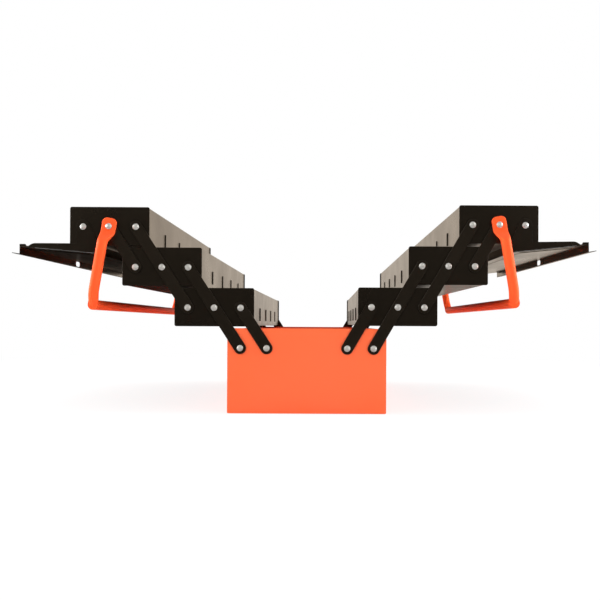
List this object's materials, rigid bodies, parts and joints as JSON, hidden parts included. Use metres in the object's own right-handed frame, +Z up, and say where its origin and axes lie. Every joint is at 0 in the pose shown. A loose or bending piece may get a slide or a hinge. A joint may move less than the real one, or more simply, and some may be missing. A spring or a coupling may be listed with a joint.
{
  "type": "cantilever tool box",
  "caption": "Sheet-metal cantilever tool box, shown open: a base, stacked trays on parallel swinging arms at both ends, hinged lids and tube handles.",
  "frame": {"origin": "centre of the underside of the base, on the surface that it stands on", "axes": "+X across the box to the right side, +Y along its length to the rear end, +Z up"},
  "size_m": [0.7339, 0.5638, 0.2632],
  "materials": {
    "base_paint": "satin",
    "tray_paint": "satin",
    "arm_paint": "satin",
    "lid_paint": "satin",
    "handle_paint": "gloss",
    "rivet_metal": "satin"
  },
  "bodies": {
    "base": {"base_pan": "base_paint", "base_front_end": "base_paint", "base_rear_end": "base_paint", "base_rivets": "rivet_metal"},
    "left_lower_tray": {"left_lower_tray": "tray_paint", "left_lower_tray_front_end": "tray_paint", "left_lower_tray_rear_end": "tray_paint", "left_lower_tray_rivets": "rivet_metal"},
    "left_middle_tray": {"left_middle_tray": "tray_paint", "left_middle_tray_front_end": "tray_paint", "left_middle_tray_rear_end": "tray_paint", "left_middle_tray_rivets": "rivet_metal"},
    "left_upper_tray": {"left_upper_tray": "tray_paint", "left_upper_tray_front_end": "tray_paint", "left_upper_tray_rear_end": "tray_paint", "left_upper_tray_rivets": "rivet_metal"},
    "left_inner_short_arms": {"left_inner_short_arm_front": "arm_paint", "left_inner_short_arm_rear": "arm_paint"},
    "left_base_long_arms": {"left_base_long_arm_front": "arm_paint", "left_base_long_arm_rear": "arm_paint"},
    "left_tray_long_arms": {"left_tray_long_arm_front": "arm_paint", "left_tray_long_arm_rear": "arm_paint"},
    "left_outer_short_arms": {"left_outer_short_arm_front": "arm_paint", "left_outer_short_arm_rear": "arm_paint"},
    "left_lid_pins": {"left_lid_rivets": "rivet_metal"},
    "left_lid": {"left_lid_panel": "lid_paint", "left_lid_front_flange": "lid_paint", "left_lid_rear_flange": "lid_paint", "left_lid_strip": "lid_paint"},
    "left_handle_pins": {"left_handle_rivets": "rivet_metal"},
    "left_handle": {"left_handle": "handle_paint"},
    "right_lower_tray": {"right_lower_tray": "tray_paint", "right_lower_tray_front_end": "tray_paint", "right_lower_tray_rear_end": "tray_paint", "right_lower_tray_rivets": "rivet_metal"},
    "right_middle_tray": {"right_middle_tray": "tray_paint", "right_middle_tray_front_end": "tray_paint", "right_middle_tray_rear_end": "tray_paint", "right_middle_tray_rivets": "rivet_metal"},
    "right_upper_tray": {"right_upper_tray": "tray_paint", "right_upper_tray_front_end": "tray_paint", "right_upper_tray_rear_end": "tray_paint", "right_upper_tray_rivets": "rivet_metal"},
    "right_inner_short_arms": {"right_inner_short_arm_front": "arm_paint", "right_inner_short_arm_rear": "arm_paint"},
    "right_base_long_arms": {"right_base_long_arm_front": "arm_paint", "right_base_long_arm_rear": "arm_paint"},
    "right_tray_long_arms": {"right_tray_long_arm_front": "arm_paint", "right_tray_long_arm_rear": "arm_paint"},
    "right_outer_short_arms": {"right_outer_short_arm_front": "arm_paint", "right_outer_short_arm_rear": "arm_paint"},
    "right_lid_pins": {"right_lid_rivets": "rivet_metal"},
    "right_lid": {"right_lid_panel": "lid_paint", "right_lid_front_flange": "lid_paint", "right_lid_rear_flange": "lid_paint", "right_lid_strip": "lid_paint"},
    "right_handle_pins": {"right_handle_rivets": "rivet_metal"},
    "right_handle": {"right_handle": "handle_paint"}
  },
  "joints": [
    {"name": "left_fold", "type": "hinge", "parent": "base", "child": "left_base_long_arms", "pos_m": [-0.0838, 0, 0.082], "axis": [0, 1, 0], "range_deg": [0, 66.46]},
    {"name": "left_inner_short_arm_swing", "type": "hinge", "parent": "base", "child": "left_inner_short_arms", "pos_m": [-0.0506, 0, 0.082], "axis": [0, 1, 0], "range_deg": [0, 66.46]},
    {"name": "left_lower_tray_level", "type": "hinge", "parent": "left_base_long_arms", "child": "left_lower_tray", "pos_m": [-0.11656, 0, 0.13249], "axis": [0, 1, 0], "range_deg": [-66.46, 0]},
    {"name": "left_middle_tray_level", "type": "hinge", "parent": "left_base_long_arms", "child": "left_middle_tray", "pos_m": [-0.14932, 0, 0.18298], "axis": [0, 1, 0], "range_deg": [-66.46, 0]},
    {"name": "left_tray_long_arm_swing", "type": "hinge", "parent": "left_lower_tray", "child": "left_tray_long_arms", "pos_m": [-0.14976, 0, 0.13249], "axis": [0, 1, 0], "range_deg": [0, 66.46]},
    {"name": "left_upper_tray_level", "type": "hinge", "parent": "left_tray_long_arms", "child": "left_upper_tray", "pos_m": [-0.21528, 0, 0.23346], "axis": [0, 1, 0], "range_deg": [-66.46, 0]},
    {"name": "left_outer_short_arm_swing", "type": "hinge", "parent": "left_middle_tray", "child": "left_outer_short_arms", "pos_m": [-0.21572, 0, 0.18298], "axis": [0, 1, 0], "range_deg": [0, 66.46]},
    {"name": "left_lid_push", "type": "hinge", "parent": "left_upper_tray", "child": "left_lid_pins", "pos_m": [-0.28168, 0, 0.23346], "axis": [0, 1, 0], "range_deg": [0, 79.05]},
    {"name": "left_lid", "type": "hinge", "parent": "left_lid_pins", "child": "left_lid", "pos_m": [-0.28168, 0, 0.23346], "axis": [0, 1, 0], "range_deg": [0, 99]},
    {"name": "left_handle_lift", "type": "hinge", "parent": "left_outer_short_arms", "child": "left_handle_pins", "pos_m": [-0.24848, 0, 0.23346], "axis": [0, 1, 0], "range_deg": [0, 85.05]},
    {"name": "left_handle", "type": "hinge", "parent": "left_handle_pins", "child": "left_handle", "pos_m": [-0.24848, 0, 0.23346], "axis": [0, 1, 0], "range_deg": [-15, 42.7]},
    {"name": "right_fold", "type": "hinge", "parent": "base", "child": "right_base_long_arms", "pos_m": [0.0838, 0, 0.082], "axis": [0, -1, 0], "range_deg": [0, 63.56]},
    {"name": "right_inner_short_arm_swing", "type": "hinge", "parent": "base", "child": "right_inner_short_arms", "pos_m": [0.0506, 0, 0.082], "axis": [0, -1, 0], "range_deg": [0, 63.56]},
    {"name": "right_lower_tray_level", "type": "hinge", "parent": "right_base_long_arms", "child": "right_lower_tray", "pos_m": [0.11396, 0, 0.13408], "axis": [0, -1, 0], "range_deg": [-63.56, 0]},
    {"name": "right_middle_tray_level", "type": "hinge", "parent": "right_base_long_arms", "child": "right_middle_tray", "pos_m": [0.14413, 0, 0.18616], "axis": [0, -1, 0], "range_deg": [-63.56, 0]},
    {"name": "right_tray_long_arm_swing", "type": "hinge", "parent": "right_lower_tray", "child": "right_tray_long_arms", "pos_m": [0.14716, 0, 0.13408], "axis": [0, -1, 0], "range_deg": [0, 63.56]},
    {"name": "right_upper_tray_level", "type": "hinge", "parent": "right_tray_long_arms", "child": "right_upper_tray", "pos_m": [0.20749, 0, 0.23824], "axis": [0, -1, 0], "range_deg": [-63.56, 0]},
    {"name": "right_outer_short_arm_swing", "type": "hinge", "parent": "right_middle_tray", "child": "right_outer_short_arms", "pos_m": [0.21053, 0, 0.18616], "axis": [0, -1, 0], "range_deg": [0, 63.56]},
    {"name": "right_lid_push", "type": "hinge", "parent": "right_upper_tray", "child": "right_lid_pins", "pos_m": [0.27389, 0, 0.23824], "axis": [0, -1, 0], "range_deg": [0, 79.05]},
    {"name": "right_lid", "type": "hinge", "parent": "right_lid_pins", "child": "right_lid", "pos_m": [0.27389, 0, 0.23824], "axis": [0, -1, 0], "range_deg": [0, 100]},
    {"name": "right_handle_lift", "type": "hinge", "parent": "right_outer_short_arms", "child": "right_handle_pins", "pos_m": [0.24069, 0, 0.23824], "axis": [0, -1, 0], "range_deg": [0, 85.05]},
    {"name": "right_handle", "type": "hinge", "parent": "right_handle_pins", "child": "right_handle", "pos_m": [0.24069, 0, 0.23824], "axis": [0, -1, 0], "range_deg": [-15, 45.6]}
  ],
  "couplings": [
    {"joint": "left_inner_short_arm_swing", "follows": "left_fold", "ratio": 1},
    {"joint": "left_lower_tray_level", "follows": "left_fold", "ratio": -1},
    {"joint": "left_middle_tray_level", "follows": "left_fold", "ratio": -1},
    {"joint": "left_tray_long_arm_swing", "follows": "left_fold", "ratio": 1},
    {"joint": "left_upper_tray_level", "follows": "left_fold", "ratio": -1},
    {"joint": "left_outer_short_arm_swing", "follows": "left_fold", "ratio": 1},
    {"joint": "left_lid_push", "follows": "left_fold", "ratio": 1.1887},
    {"joint": "left_handle_lift", "follows": "left_lid", "ratio": 0.85859},
    {"joint": "right_inner_short_arm_swing", "follows": "right_fold", "ratio": 1},
    {"joint": "right_lower_tray_level", "follows": "right_fold", "ratio": -1},
    {"joint": "right_middle_tray_level", "follows": "right_fold", "ratio": -1},
    {"joint": "right_tray_long_arm_swing", "follows": "right_fold", "ratio": 1},
    {"joint": "right_upper_tray_level", "follows": "right_fold", "ratio": -1},
    {"joint": "right_outer_short_arm_swing", "follows": "right_fold", "ratio": 1},
    {"joint": "right_lid_push", "follows": "right_fold", "ratio": 1.243},
    {"joint": "right_handle_lift", "follows": "right_lid", "ratio": 0.85}
  ]
}
